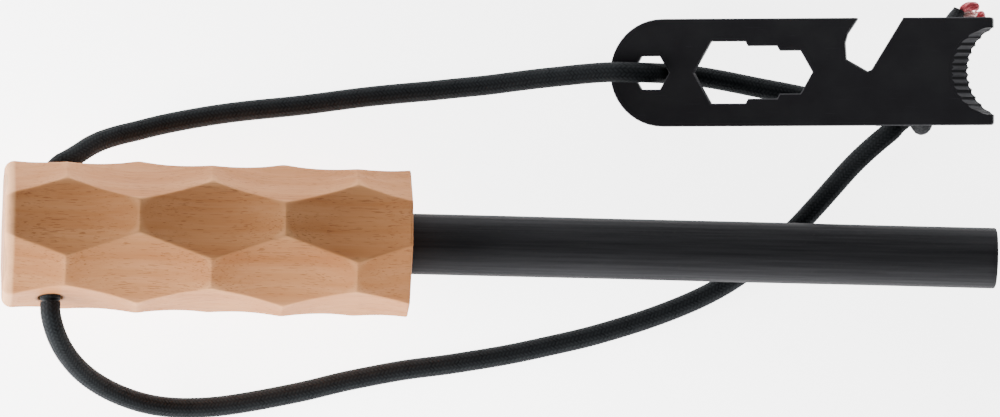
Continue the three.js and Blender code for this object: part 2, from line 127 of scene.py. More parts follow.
PHOTO_PIXELS = 1000
PIXELS_PER_MM = 4.8
PHOTO_WIDTH = PHOTO_PIXELS / PIXELS_PER_MM
PHOTO_TURN = math.radians(1.42)
PHOTO_CENTRE = np.array([18.67, 7.8, 8.0]) + SHIFT
LENS = 500.0
SENSOR = 36.0
NEAREST_SEEN = 0.1
FARTHEST_SEEN = 20


def make_camera():
    data = bpy.data.cameras.new("camera")
    data.lens = LENS
    data.sensor_width = SENSOR
    camera = bpy.data.objects.new("camera", data)
    distance = PHOTO_WIDTH * LENS / SENSOR
    camera.location = Vector(PHOTO_CENTRE * MM) + Vector((0, 0, distance * MM))
    camera.rotation_euler = (0, 0, PHOTO_TURN)
    data.clip_start = NEAREST_SEEN
    data.clip_end = FARTHEST_SEEN
    bpy.context.collection.objects.link(camera)
    bpy.context.scene.camera = camera


# Mesh making

def new_object(name, vertices, faces, material, smooth=True):
    mesh = bpy.data.meshes.new(name)
    mesh.from_pydata(vertices.tolist(), [], faces)
    mesh.update()
    if smooth:
        mesh.shade_smooth()
    mesh.materials.append(material)
    piece = bpy.data.objects.new(name, mesh)
    bpy.context.collection.objects.link(piece)
    return piece


def add_attribute(piece, name, values):
    attribute = piece.data.attributes.new(name, "FLOAT", "POINT")
    attribute.data.foreach_set("value", np.asarray(values, np.float32).ravel())


def grid_faces(rings, sides):
    """Quads between rings of as many points, closed round each ring."""
    ring = np.arange(rings - 1)[:, None] * sides
    here = np.arange(sides)[None, :]
    after = (here + 1) % sides
    above = ring + sides
    quads = np.stack([ring + here, ring + after, above + after, above + here], axis=-1)
    return quads.reshape(-1, 4).tolist()


def closed_faces(rings, sides):
    """The quads between the rings and a fan at each end. The vertices end with the middle points
    of the first ring and of the last."""
    faces = grid_faces(rings, sides)
    start, end = rings * sides, rings * sides + 1
    last = (rings - 1) * sides
    for k in range(sides):
        after = (k + 1) % sides
        faces.append([start, after, k])
        faces.append([end, last + k, last + after])
    return faces


CURVE_DIVISIONS = 24
NEARLY_UPRIGHT = 0.1


def curve_through(points, step):
    """Points a step apart on the centripetal curve that part.mjs uses."""
    given = np.array(points, float)
    p = np.vstack([2 * given[0] - given[1], given, 2 * given[-1] - given[-2]])
    share = np.linspace(0, 1, CURVE_DIVISIONS, endpoint=False)[:, None]
    dense = []
    for i in range(1, len(p) - 2):
        gaps = [np.linalg.norm(p[j + 1] - p[j]) ** 0.5 for j in (i - 1, i, i + 1)]
        start = (p[i] - p[i - 1]) / gaps[0] - (p[i + 1] - p[i - 1]) / (gaps[0] + gaps[1])
        start = (start + (p[i + 1] - p[i]) / gaps[1]) * gaps[1]
        end = (p[i + 1] - p[i]) / gaps[1] - (p[i + 2] - p[i]) / (gaps[1] + gaps[2])
        end = (end + (p[i + 2] - p[i + 1]) / gaps[2]) * gaps[1]
        a = 2 * p[i] - 2 * p[i + 1] + start + end
        b = 3 * p[i + 1] - 3 * p[i] - 2 * start - end
        dense.append(a * share**3 + b * share**2 + start * share + p[i])
    dense = np.vstack(dense + [p[-2:-1]])
    along = np.concatenate([[0], np.cumsum(np.linalg.norm(np.diff(dense, axis=0), axis=1))])
    count = max(2, int(round(along[-1] / step)) + 1)
    even = np.linspace(0, along[-1], count)
    return np.stack([np.interp(even, along, dense[:, k]) for k in range(3)], axis=1)


def frames_along(line):
    """Two unit vectors across the line at each of its points, carried along without twist."""
    tangent = np.gradient(line, axis=0)
    tangent /= np.linalg.norm(tangent, axis=1)[:, None]
    across = np.cross(tangent[0], (0, 0, 1.0))
    if np.linalg.norm(across) < NEARLY_UPRIGHT:
        across = np.cross(tangent[0], (1.0, 0, 0))
    side = np.empty_like(line)
    for i, t in enumerate(tangent):
        across = across - t * np.dot(across, t)
        across /= np.linalg.norm(across)
        side[i] = across
    return side, np.cross(tangent, side)


def swept(name, line, radius, material):
    """A closed tube round a line in millimetres; radius has a row for each point of the line."""
    rings, sides = radius.shape
    side, up = frames_along(line)
    angle = np.linspace(0, 2 * np.pi, sides, endpoint=False)
    aside = side[:, None, :] * np.cos(angle)[None, :, None]
    upward = up[:, None, :] * np.sin(angle)[None, :, None]
    skin = line[:, None, :] + (aside + upward) * radius[:, :, None]
    vertices = np.vstack([skin.reshape(-1, 3), line[:1], line[-1:]])
    return new_object(name, (vertices + SHIFT) * MM, closed_faces(rings, sides), material)


# Braided cord, in millimetres

CORD_FUZZ = 0.14
BRAID_CARRIERS = 16
BRAID_STEP = 0.17
BRAID_SIDES = 80
BRAID_DEPTH = 0.13
BRAID_PITCH_SHARE = 1.05
PASSES_OVER = 2
LUMP_HEIGHT = 0.03
LUMP_LENGTH = 3.1
LUMP_DRIFT = 11


def braid(s, angle, radius, carriers):
    """Height from 0 to 1 of a braid of two opposite families of strands, each over two and
    under two, and which family lies on top."""
    pitch = 2 * math.pi * radius * BRAID_PITCH_SHARE
    round_share = carriers * angle / (2 * math.pi)
    along_share = carriers * s / pitch
    a = round_share[None, :] - along_share[:, None]
    b = round_share[None, :] + along_share[:, None]
    run_a = np.mod(b + np.floor(a), 2 * PASSES_OVER)
    run_b = np.mod(a + np.floor(b) - PASSES_OVER, 2 * PASSES_OVER)
    on_top = run_a < PASSES_OVER

    def strand(across, run):
        crown = np.sqrt(np.clip(1 - (2 * (across - np.floor(across)) - 1) ** 2, 0, 1))
        rise = np.sin(np.pi * np.clip(run, 0, PASSES_OVER) / PASSES_OVER)
        return crown * (0.5 + 0.5 * rise)

    height = np.where(on_top, strand(a, run_a), strand(b, run_b))
    return height, on_top.astype(float)


def braided(name, line, radius, material, carriers=BRAID_CARRIERS, sides=BRAID_SIDES):
    """A braided tube; radius may be one number or one for each point of the line."""
    s = np.concatenate([[0], np.cumsum(np.linalg.norm(np.diff(line, axis=0), axis=1))])
    angle = np.linspace(0, 2 * np.pi, sides, endpoint=False)
    radii = np.broadcast_to(np.asarray(radius, float).reshape(-1, 1), (len(line), 1))
    mean = float(radii.mean())
    height, on_top = braid(s, angle, mean, carriers)
    lumps = np.sin(s / LUMP_LENGTH)[:, None] * np.sin(angle + s[:, None] / LUMP_DRIFT)
    relief = LUMP_HEIGHT * lumps - BRAID_DEPTH * (1 - height)
    skin = radii + relief * mean / CORD_RADIUS + CORD_FUZZ
    piece = swept(name, line, skin, material)
    add_attribute(piece, "braid_height", np.append(height.ravel(), [0, 0]))
    add_attribute(piece, "braid_family", np.append(on_top.ravel(), [0, 0]))
    return piece


# Materials

def linear(*rgb):
    """A colour given as 0 to 255, as a shader takes it."""
    share = [v / 255 for v in rgb]
    return tuple(v / 12.92 if v <= 0.04045 else ((v + 0.055) / 1.055) ** 2.4 for v in share) + (1,)


class Nodes:
    """Short calls for building a material's node tree."""

    def __init__(self, name):
        self.material = bpy.data.materials.new(name)
        self.material.use_nodes = True
        self.tree = self.material.node_tree
        self.shader = self.tree.nodes["Principled BSDF"]

    def node(self, kind, inputs=None, **settings):
        made = self.tree.nodes.new(kind)
        for key, value in settings.items():
            setattr(made, key, value)
        for key, value in (inputs or {}).items():
            self.set(made.inputs[key], value)
        return made

    def set(self, socket, value):
        if isinstance(value, bpy.types.NodeSocket):
            self.tree.links.new(value, socket)
        else:
            socket.default_value = value

    def shade(self, **inputs):
        for key, value in inputs.items():
            self.set(self.shader.inputs[key.replace("_", " ")], value)

    def place(self, scale):
        """The object's own coordinates, stretched by scale."""
        coordinates = self.node("ShaderNodeTexCoord").outputs["Object"]
        mapping = self.node("ShaderNodeMapping", {"Vector": coordinates, "Scale": scale})
        return mapping.outputs["Vector"]

    def noise(self, scale, detail=3.0, roughness=0.5, distortion=0.0):
        inputs = {
            "Vector": self.place(scale), "Scale": 1.0, "Detail": detail,
            "Roughness": roughness, "Distortion": distortion,
        }
        return self.node("ShaderNodeTexNoise", inputs).outputs["Fac"]

    def attribute(self, name):
        return self.node("ShaderNodeAttribute", attribute_name=name).outputs["Fac"]

    def ramp(self, value, low, high, start=0.0, end=1.0):
        inputs = {"Value": value, "From Min": low, "From Max": high, "To Min": start, "To Max": end}
        return self.node("ShaderNodeMapRange", inputs).outputs["Result"]

    def mix(self, share, first, second):
        made = self.node("ShaderNodeMix", data_type="RGBA")
        self.set(made.inputs["Factor"], share)
        self.set(made.inputs[6], first)
        self.set(made.inputs[7], second)
        return made.outputs[2]

    def math(self, kind, first, second=0.0):
        made = self.node("ShaderNodeMath", operation=kind)
        self.set(made.inputs[0], first)
        self.set(made.inputs[1], second)
        return made.outputs[0]

    def dot(self, first, second):
        made = self.node("ShaderNodeVectorMath", {0: first, 1: second}, operation="DOT_PRODUCT")
        return made.outputs["Value"]

    def bump(self, height, depth, strength, normal=None):
        inputs = {"Height": height, "Distance": depth, "Strength": strength}
        if normal is not None:
            inputs["Normal"] = normal
        return self.node("ShaderNodeBump", inputs).outputs["Normal"]


# Tones of the materials, by what each colours.
BEECH_BANDS = linear(191, 135, 92), linear(173, 114, 72)
BEECH_STREAKS = linear(158, 97, 55)
BEECH_CLOUDS = linear(196, 139, 93)
BEECH_FLECKS = linear(106, 66, 40)
# Painted shade inside the holes, and darker round the cross hole's mouth.
BEECH_HOLE_DARK_AND_SHADE = linear(34, 24, 18)
# Painted highlight along the ridges between scoops.
BEECH_RIDGE_HIGHLIGHT = linear(222, 168, 118)
# Painted highlight on the highest necks between scoops.
BEECH_NECK_HIGHLIGHT = linear(226, 172, 122)
# Painted highlight on the butt's rounded edge.
BEECH_BUTT_HIGHLIGHT = linear(226, 174, 130)
BEECH_YEARS = linear(176, 122, 82), linear(146, 92, 56)
ROD_STREAKS = linear(53, 53, 55), linear(42, 42, 44)
ROD_SPECKS = linear(54, 53, 52)
ADHESIVE_CLOUDS = linear(120, 92, 56), linear(92, 66, 40)
COAT_CLOUDS = linear(32, 31, 34), linear(38, 38, 40)
COAT_SCRATCHES = linear(56, 56, 60)
COAT_GROUND = linear(33, 33, 35)
# Painted highlight at the ends of the ground bevel.
COAT_GROUND_LIP_HIGHLIGHT = linear(104, 104, 108)
BRAID_FAMILY = linear(27, 28, 31)
BRAID_FIBRES = linear(56, 56, 58)
BRAID_CLOUDS = linear(37, 37, 38)
# Painted shade in the braid's crevices, rising to the strands' own tone on their crowns.
CORD_CREVICE_SHADE_TONES = linear(18, 20, 22), linear(41, 44, 46)
# A lighter copy of the cord's tones for the knot and tails, which is painted light, with the same
# painted crevice shade.
KNOT_LIGHTER_CREVICE_SHADE_TONES = linear(30, 31, 33), linear(60, 61, 63)
TINDER_FIBRES = linear(206, 66, 78), linear(158, 32, 46)
YARN_FIBRES = linear(236, 214, 208), linear(214, 150, 146)
# The butt's end grain: where its rings turn round, and the wave texture that draws them.
PITH_AT = (0.0, 0.019, -0.024)
YEAR_RINGS = {"Scale": 150, "Distortion": 2.5, "Detail": 3, "Detail Scale": 2}


def beech():
    n = Nodes("beech")
    bands = n.noise((10, 330, 330), detail=4, distortion=0.4)
    streaks = n.noise((60, 2200, 2200), detail=3)
    clouds = n.noise((70, 160, 160), detail=2)
    flecks = n.noise((330, 5600, 5600), detail=1.2, roughness=0.4, distortion=0.15)
    crowding = n.noise((60, 260, 260), detail=1)
    tone = n.mix(n.ramp(bands, 0.32, 0.68), *BEECH_BANDS)
    tone = n.mix(n.ramp(streaks, 0.35, 0.75, 0.0, 0.3), tone, BEECH_STREAKS)
    tone = n.mix(n.ramp(clouds, 0.35, 0.7, 0.0, 0.3), tone, BEECH_CLOUDS)
    threshold = n.ramp(crowding, 0.3, 0.7, 0.7, 0.61)
    fleck = n.ramp(n.math("SUBTRACT", flecks, threshold), 0.0, 0.035)
    tone = n.mix(n.math("MULTIPLY", fleck, 0.46), tone, BEECH_FLECKS)
    # Darker round the cross hole's mouth, and painted shade over the walls inside the holes.
    tone = n.mix(n.attribute("hole_dark_and_shade"), tone, BEECH_HOLE_DARK_AND_SHADE)
    # Painted highlight: a little lighter along the ridges between scoops.
    tone = n.mix(n.math("MULTIPLY", n.attribute("ridge"), 0.06), tone, BEECH_RIDGE_HIGHLIGHT)
    # Painted highlight: lighter in patches where the surface stands highest, at the necks between
    # scoops.
    neck_highlight = n.math("MULTIPLY", n.attribute("neck_highlight"), n.ramp(clouds, 0.3, 0.6, 0.0, 0.3))
    tone = n.mix(neck_highlight, tone, BEECH_NECK_HIGHLIGHT)
    coordinates = n.node("ShaderNodeTexCoord").outputs
    end_grain = n.ramp(n.math("ABSOLUTE", n.dot(coordinates["Normal"], (1, 0, 0))), 0.9, 0.99)
    # Painted highlight on the butt's rounded edge, fading onto its end face.
    butt_highlight = n.math("MULTIPLY", n.attribute("butt_edge"), n.ramp(end_grain, 0, 1, 0.5, 0.1))
    tone = n.mix(butt_highlight, tone, BEECH_BUTT_HIGHLIGHT)
    pith = n.node("ShaderNodeMapping", {"Vector": coordinates["Object"], "Location": PITH_AT})
    inputs = {"Vector": pith.outputs["Vector"], **YEAR_RINGS}
    rings = n.node("ShaderNodeTexWave", inputs, wave_type="RINGS", rings_direction="X")
    year = n.mix(n.ramp(rings.outputs["Fac"], 0.2, 0.9), *BEECH_YEARS)
    tone = n.mix(n.math("MULTIPLY", end_grain, 0.65), tone, year)
    rough = n.ramp(streaks, 0.3, 0.7, 0.42, 0.6)
    grain = n.bump(streaks, 0.00003, 0.6)
    n.shade(Base_Color=tone, Roughness=rough, Normal=n.bump(fleck, -0.00006, 0.8, grain))
    n.shader.inputs["Specular IOR Level"].default_value = 0.03
    return n.material


def ferrocerium():
    n = Nodes("ferro_rod")
    streaks = n.noise((45, 1500, 1500), detail=4)
    specks = n.noise((900, 900, 900), detail=2)
    tone = n.mix(n.ramp(streaks, 0.3, 0.7), *ROD_STREAKS)
    tone = n.mix(n.ramp(specks, 0.62, 0.75, 0.0, 0.3), tone, ROD_SPECKS)
    rough = n.ramp(streaks, 0.3, 0.7, 0.6, 0.5)
    n.shade(Base_Color=tone, Roughness=rough, Normal=n.bump(streaks, 0.00003, 0.5))
    n.shader.inputs["Specular IOR Level"].default_value = 0.015
    return n.material


def cured_adhesive():
    n = Nodes("adhesive")
    clouds = n.noise((400, 400, 400))
    tone = n.mix(n.ramp(clouds, 0.3, 0.7), *ADHESIVE_CLOUDS)
    n.shade(Base_Color=tone, Roughness=0.25, Normal=n.bump(clouds, 0.00005, 0.4))
    return n.material


def scraper_directions():
    """The way the scraper's flat top faces, and the level direction across its width."""
    faces = [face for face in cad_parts["scraper"].data.polygons if face.normal.z > 0]
    top = max(faces, key=lambda face: face.area).normal
    across = Vector((0, 0, 1)).cross(Vector((1, 0, 0)))
    return tuple(top), tuple((across - top * across.dot(top)).normalized())


def black_coating():
    """The scraper's black finish, with a painted highlight at the ends of the ground bevel of its
    edge, where the bevel faces across the plate.
    """
    n = Nodes("black_coat")
    top, across = scraper_directions()
    normal = n.node("ShaderNodeTexCoord").outputs["Normal"]
    level = n.dot(normal, top)
    ground = n.math("MULTIPLY", n.ramp(level, 0.975, 0.94), n.ramp(level, 0.4, 0.6))
    # Painted highlight where the ground bevel faces across the plate, at the ends of its crescent.
    lip_highlight = n.ramp(n.math("ABSOLUTE", n.dot(normal, across)), 0.24, 0.36, 0.0, 0.35)
    fine = n.noise((2600, 2600, 2600), detail=2)
    clouds = n.noise((120, 120, 120), detail=3)
    scratches = n.noise((90, 2600, 900), detail=2, distortion=0.3)
    tone = n.mix(n.ramp(clouds, 0.3, 0.7), *COAT_CLOUDS)
    tone = n.mix(n.ramp(scratches, 0.66, 0.76, 0.0, 0.2), tone, COAT_SCRATCHES)
    tone = n.mix(ground, tone, COAT_GROUND)
    tone = n.mix(n.math("MULTIPLY", ground, lip_highlight), tone, COAT_GROUND_LIP_HIGHLIGHT)
    rough = n.ramp(clouds, 0.3, 0.7, 0.5, 0.62)
    n.shade(Base_Color=tone, Roughness=rough, Normal=n.bump(fine, 0.00002, 0.5))
    n.shader.inputs["Specular IOR Level"].default_value = 0.06
    return n.material


def braided_nylon(name, crevice_shade, pale):
    n = Nodes(name)
    height = n.attribute("braid_height")
    family = n.attribute("braid_family")
    fibres = n.noise((3800, 3800, 3800), detail=3)
    clouds = n.noise((260, 260, 260), detail=2)
    # Painted shade: darker down in the braid's crevices.
    tone = n.mix(n.ramp(height, 0.1, 0.95), crevice_shade, pale)
    tone = n.mix(n.math("MULTIPLY", family, 0.12), tone, BRAID_FAMILY)
    tone = n.mix(n.ramp(fibres, 0.5, 0.8, 0.0, 0.35), tone, BRAID_FIBRES)
    tone = n.mix(n.ramp(clouds, 0.45, 0.75, 0.0, 0.25), tone, BRAID_CLOUDS)
    n.shade(Base_Color=tone, Roughness=n.ramp(height, 0, 1, 0.95, 0.62))
    n.shade(Normal=n.bump(fibres, 0.00006, 0.6))
    n.shader.inputs["Specular IOR Level"].default_value = 0.04
    n.shader.inputs["Sheen Weight"].default_value = 0.01
    n.shader.inputs["Sheen Roughness"].default_value = 0.5
    return n.material


def strand_fibre(name, first, second):
    n = Nodes(name)
    fibres = n.noise((3000, 3000, 3000), detail=3)
    tone = n.mix(n.ramp(fibres, 0.35, 0.65), first, second)
    n.shade(Base_Color=tone, Roughness=0.6, Normal=n.bump(fibres, 0.00008, 0.7))
    n.shader.inputs["Sheen Weight"].default_value = 0.3
    return n.material


# Handle, in the striker's own frame: the rod end's face at x = 0, the butt at -HANDLE_LENGTH.

HANDLE_RINGS = 420
HANDLE_SIDES = 400
EDGE_SOFTNESS = 0.07
BUTT_SOFTENING = 2.4
BUTT_EDGE_FADE = 0.6
BUTT_RING_SHARES = np.array([0.25, 0.6, 0.9, 0.98])
SILHOUETTE_FILL = 0.1
RIDGE_REACH = 0.22
# The height at which the painted highlight on the necks begins, and the rise over which it comes in.
NECK_HIGHLIGHT_FROM = 15.3
NECK_HIGHLIGHT_RANGE = 0.3
WORN_DEPTH = 0.03
WORN_WAVE_LENGTH = 2.3
WORN_SWAY = 3
WORN_WAVES_ROUND = 5
BUTT_CURVE_RINGS = 10
FACE_RINGS_AT = [-0.35, -0.15]
FACE_CHAMFER_SHARE = 0.8
BORE_MOUTH = 0.2
LEAST_FACING = 0.2
# How far the darkening round the cross hole's mouth reaches, and how much painted shade the walls
# inside the holes get.
HOLE_DARK_WIDTH = 0.45
INSIDE_PAINTED_SHADE = 0.6
INSIDE_MARGIN = 0.5
WOOD_SHARP_ANGLE = math.radians(40)


def soft_least(values, softness):
    """The least along the first axis, with the corners between the values softened."""
    least = values.min(axis=0)
    return least - softness * np.log(np.exp(-(values - least) / softness).sum(axis=0))


def row_height(row, x):
    """Distance of a scoop row's surface from the axis, at x."""
    shift = 0 if row % 2 == 0 else SCOOP_PITCH / 2
    first = -HANDLE_LENGTH + FIRST_SCOOP_FROM_BUTT - shift
    radius = ((SCOOP_PITCH / 2) ** 2 + SCOOP_DEPTH**2) / (2 * SCOOP_DEPTH)
    nearest = np.round((x - first) / SCOOP_PITCH)
    arcs = []
    for k in (-1, 0, 1):
        along = x - first - SCOOP_PITCH * (nearest + k)
        arcs.append(SCOOP_FLOOR + radius - np.sqrt(radius**2 - along**2))
    return soft_least(np.array(arcs), EDGE_SOFTNESS / 2)


def handle_surface(x, angle):
    """Radius of the scooped handle at each x and angle, and how near a ridge it is."""
    surfaces = [np.full((len(x), len(angle)), BLANK_RADIUS)]
    for row in range(SCOOP_ROWS):
        turn = angle - row * 2 * math.pi / SCOOP_ROWS
        facing = np.cos(turn)
        reach = row_height(row, x)[:, None] / np.maximum(facing, LEAST_FACING)[None, :]
        surfaces.append(np.where(facing[None, :] > LEAST_FACING, reach, 3 * BLANK_RADIUS))
    surfaces = np.array(surfaces)
    radius = soft_least(surfaces, EDGE_SOFTNESS)
    two = np.sort(surfaces, axis=0)[:2]
    ridge = np.exp(-((two[1] - two[0]) / RIDGE_REACH) ** 2)
    return radius, ridge


def handle_mesh(material):
    share = np.linspace(0, 1, HANDLE_RINGS)
    x = -HANDLE_LENGTH * (1 - share)
    near_butt = BUTT_SOFTENING * (1 - np.cos(np.linspace(0, math.pi / 2, BUTT_CURVE_RINGS)))
    x = np.unique(np.round(np.concatenate([x, near_butt - HANDLE_LENGTH, FACE_RINGS_AT]), 4))
    angle = np.linspace(0, 2 * math.pi, HANDLE_SIDES, endpoint=False)
    radius, ridge = handle_surface(x, angle)
    ridge *= np.clip((x + HANDLE_LENGTH) / BUTT_SOFTENING, 0, 1)[:, None]
    past = np.clip(1 - (x + HANDLE_LENGTH) / BUTT_SOFTENING, 0, 1)
    radius = radius - (BUTT_SOFTENING * (1 - np.sqrt(1 - past**2)))[:, None]
    past = np.clip(1 + x / FACE_CHAMFER, 0, 1)
    radius = radius - (FACE_CHAMFER * (1 - np.sqrt(1 - past**2)))[:, None] * FACE_CHAMFER_SHARE
    waves = np.sin(x[:, None] / WORN_WAVE_LENGTH + WORN_SWAY * np.sin(angle)[None, :])
    waves = waves * np.sin(WORN_WAVES_ROUND * angle)[None, :]
    radius = radius + WORN_DEPTH * waves + SILHOUETTE_FILL
    flat_rings = len(BUTT_RING_SHARES)
    x = np.concatenate([np.full(flat_rings, -HANDLE_LENGTH), x])
    radius = np.vstack([BUTT_RING_SHARES[:, None] * radius[:1], radius])
    ridge = np.vstack([np.zeros((flat_rings, HANDLE_SIDES)), ridge])
    y = -radius * np.sin(angle)
    z = radius * np.cos(angle)
    skin = np.stack([np.broadcast_to(x[:, None], radius.shape), y, z], axis=-1).reshape(-1, 3)
    circle = np.stack([-np.sin(angle), np.cos(angle)], axis=1)
    rings = [skin]
    bore = ((0, BORE_RADIUS + BORE_MOUTH), (-BORE_MOUTH, BORE_RADIUS), (-BORE_DEPTH, BORE_RADIUS))
    for ring_x, ring_radius in bore:
        rings.append(np.column_stack([np.full(HANDLE_SIDES, ring_x), circle * ring_radius]))
    vertices = np.vstack(rings + [[[-HANDLE_LENGTH, 0, 0]], [[-BORE_DEPTH, 0, 0]]])
    faces = closed_faces(len(x) + len(bore), HANDLE_SIDES)
    piece = new_object("handle_wood", vertices * MM, faces, material)
    ridge_values = np.zeros(len(vertices))
    ridge_values[: ridge.size] = ridge.ravel()
    add_attribute(piece, "ridge", ridge_values)
    # Painted highlight where the surface stands highest, at the necks.
    neck_highlight_values = np.zeros(len(vertices))
    neck_highlight_values[: ridge.size] = np.clip((radius - NECK_HIGHLIGHT_FROM) / NECK_HIGHLIGHT_RANGE, 0, 1).ravel()
    add_attribute(piece, "neck_highlight", neck_highlight_values)
    from_butt = vertices[:, 0] + HANDLE_LENGTH
    add_attribute(piece, "butt_edge", np.clip((BUTT_SOFTENING - from_butt) / BUTT_EDGE_FADE, 0, 1))
    # The cross hole's mouth is darker round its rim; the walls inside the holes get painted shade.
    hole_x = CROSS_HOLE_FROM_BUTT - HANDLE_LENGTH
    across = np.hypot(vertices[:, 0] - hole_x, vertices[:, 2])
    mouth_dark = np.exp(-(np.clip(across - CROSS_HOLE_RADIUS, 0, None) / HOLE_DARK_WIDTH) ** 2)
    inside = np.hypot(vertices[:, 1], vertices[:, 2]) < SCOOP_FLOOR - INSIDE_MARGIN
    add_attribute(piece, "hole_dark_and_shade", np.where(inside, INSIDE_PAINTED_SHADE, mouth_dark))
    return piece


HOLE_SIDES = 96
HOLE_REACH = 18
MOUTH_FLARES = [(12.9, 0.0), (13.6, 0.2), (HOLE_REACH, 0.35)]
HOLE_FLARES = [(-y, flare) for y, flare in reversed(MOUTH_FLARES)] + MOUTH_FLARES
TEAR_DEPTHS = (0.02, 0.06)
TEAR_STARTS = (0, 6)
TEARS_ROUND = (3, 5, 8, 13)
FLARE_SHARE = 0.6
TEAR_SHARE = 4


def hole_cutter(material):
    """A cutter for the cross hole, with slightly torn mouths."""
    angle = np.linspace(0, 2 * math.pi, HOLE_SIDES, endpoint=False)
    torn = sum(
        rng.uniform(*TEAR_DEPTHS) * np.sin(count * angle + rng.uniform(*TEAR_STARTS))
        for count in TEARS_ROUND
    )
    rings = []
    for y, flare in HOLE_FLARES:
        radius = CROSS_HOLE_RADIUS + flare * (FLARE_SHARE + TEAR_SHARE * torn)
        ring = [radius * np.cos(angle), np.full(HOLE_SIDES, y), radius * np.sin(angle)]
        rings.append(np.stack(ring, axis=1))
    vertices = np.vstack(rings + [[[0, -HOLE_REACH, 0]], [[0, HOLE_REACH, 0]]])
    vertices[:, 0] += CROSS_HOLE_FROM_BUTT - HANDLE_LENGTH
    faces = [face[::-1] for face in closed_faces(len(HOLE_FLARES), HOLE_SIDES)]
    return new_object("hole_cutter", vertices * MM, faces, material)


def striker_place():
    """How the striker lies, as part.mjs sets it."""
    turn = Matrix.Rotation(STRIKER_TILT, 4, "Y") @ Matrix.Rotation(-HANDLE_ROLL, 4, "X")
    at = Vector((SHIFT * MM)) + Vector((0, 0, STRIKER_HEIGHT * MM))
    return Matrix.Translation(at) @ turn


def apply_modifiers(piece):
    graph = bpy.context.evaluated_depsgraph_get()
    mesh = bpy.data.meshes.new_from_object(piece.evaluated_get(graph))
    piece.modifiers.clear()
    piece.data = mesh


def make_handle(material):
    piece = handle_mesh(material)
    cutter = hole_cutter(material)
    cut = piece.modifiers.new("hole", "BOOLEAN")
    cut.operation = "DIFFERENCE"
    cut.solver = "EXACT"
    cut.object = cutter
    apply_modifiers(piece)
    bpy.data.objects.remove(cutter)
    piece.data.set_sharp_from_angle(angle=WOOD_SHARP_ANGLE)
    piece.matrix_world = striker_place()
    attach(piece, "striker")
    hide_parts("handle")


ROD_SIDES = 144
ROD_RINGS = 260
ROD_END_MARGIN = 2
ROD_CHAMFER_MIDDLE = 0.3 * ROD_CHAMFER
# The depth, number and start of each set of lines that drawing left along the rod.
DRAWN_LINES = [(0.012, 7, 1), (0.01, 19, 0), (0.008, 31, 2)]
ROD_WAVINESS = 0.015
ROD_WAVE_LENGTH = 9
ROD_WAVES_ROUND, ROD_WAVES_START = 2, 1
ROD_LACK = 0.03
ROD_SHARP_ANGLE = math.radians(30)


def make_rod(material):
    reach = ROD_LENGTH - ROD_IN_HANDLE
    chamfer = [(0.0, ROD_CHAMFER), (ROD_CHAMFER_MIDDLE, ROD_CHAMFER_MIDDLE), (ROD_CHAMFER, 0.0)]
    stations = [(-ROD_IN_HANDLE + back, ROD_RADIUS - inward) for back, inward in chamfer]
    middle = np.linspace(-ROD_IN_HANDLE + ROD_END_MARGIN, reach - ROD_END_MARGIN, ROD_RINGS)
    stations += [(x, ROD_RADIUS) for x in middle]
    stations += [(reach - back, ROD_RADIUS - inward) for back, inward in reversed(chamfer)]
    x = np.array([station[0] for station in stations])
    base = np.array([station[1] for station in stations])
    angle = np.linspace(0, 2 * math.pi, ROD_SIDES, endpoint=False)
    drawn = sum(depth * np.sin(count * angle + start) for depth, count, start in DRAWN_LINES)
    round_waves = np.sin(ROD_WAVES_ROUND * angle + ROD_WAVES_START)
    waves = np.sin(x / ROD_WAVE_LENGTH)[:, None] * round_waves[None, :]
    radius = base[:, None] + drawn[None, :] + ROD_WAVINESS * waves - ROD_LACK
    points = np.stack([
        np.broadcast_to(x[:, None], radius.shape),
        radius * np.cos(angle),
        radius * np.sin(angle),
    ], axis=-1).reshape(-1, 3)
    vertices = np.vstack([points, [[x[0], 0, 0]], [[x[-1], 0, 0]]])
    faces = closed_faces(len(x), ROD_SIDES)
    piece = new_object("rod_bar", vertices * MM, faces, material)
    piece.data.set_sharp_from_angle(angle=ROD_SHARP_ANGLE)
    piece.matrix_world = striker_place()
    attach(piece, "striker")
    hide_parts("ferro_rod")


# Scraper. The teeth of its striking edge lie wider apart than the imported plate's, so on a copy of
# the plate the edge is cut back past its teeth and an edge with the wider teeth is joined on.

SCRAPER_AT = np.array([41.3, 36.6, 3.0851])
SCRAPER_TURN = math.radians(1.65)
SCRAPER_TILT = math.radians(8.769)
SCRAPER_THICKNESS = 2.5
SCRAPER_LENGTH = 80.3
EDGE_ARC_X = 84.8
EDGE_ARC_RADIUS = 9.8
BEVEL_ARC_X = 81.0
BEVEL_ARC_RADIUS = 8.96
CUT_BACK = 0.9
CUT_OVERRUN = 0.3
CUT_STEPS = 83
JOINED_BACK = 1.3
JOINED_STEPS = 85
# The joined edge lies this far inside the plate's faces and end, so that no two faces coincide.
# The cut and the join leave a closed mesh at these numbers, and not at many others.
FACE_INSET = 0.02
TOOTH_PITCH = 1.49
TOOTH_DEPTH = 0.43
STEPS_A_TOOTH = 14
PLATE_WIDENING = 1.022
VOLUME_MAY_CHANGE = 0.02
FLAT_ANGLE = math.radians(0.2)
# In metres.
WELD_REACH = 0.000002
JOIN_REACH = 0.000006


def scraper_place():
    """How the scraper lies, as part.mjs sets it."""
    turn = Matrix.Rotation(SCRAPER_TURN, 4, "Z") @ Matrix.Rotation(-SCRAPER_TILT, 4, "Y")
    return Matrix.Translation(Vector((SCRAPER_AT + SHIFT) * MM)) @ turn


def edge_arc(y, z):
    """Where the teeth's tips lie along the plate, y from its middle and z above its underside."""
    share = z / SCRAPER_THICKNESS
    centre = EDGE_ARC_X + (BEVEL_ARC_X - EDGE_ARC_X) * share
    radius = EDGE_ARC_RADIUS + (BEVEL_ARC_RADIUS - EDGE_ARC_RADIUS) * share
    return centre - math.sqrt(max(radius**2 - y**2, 0))


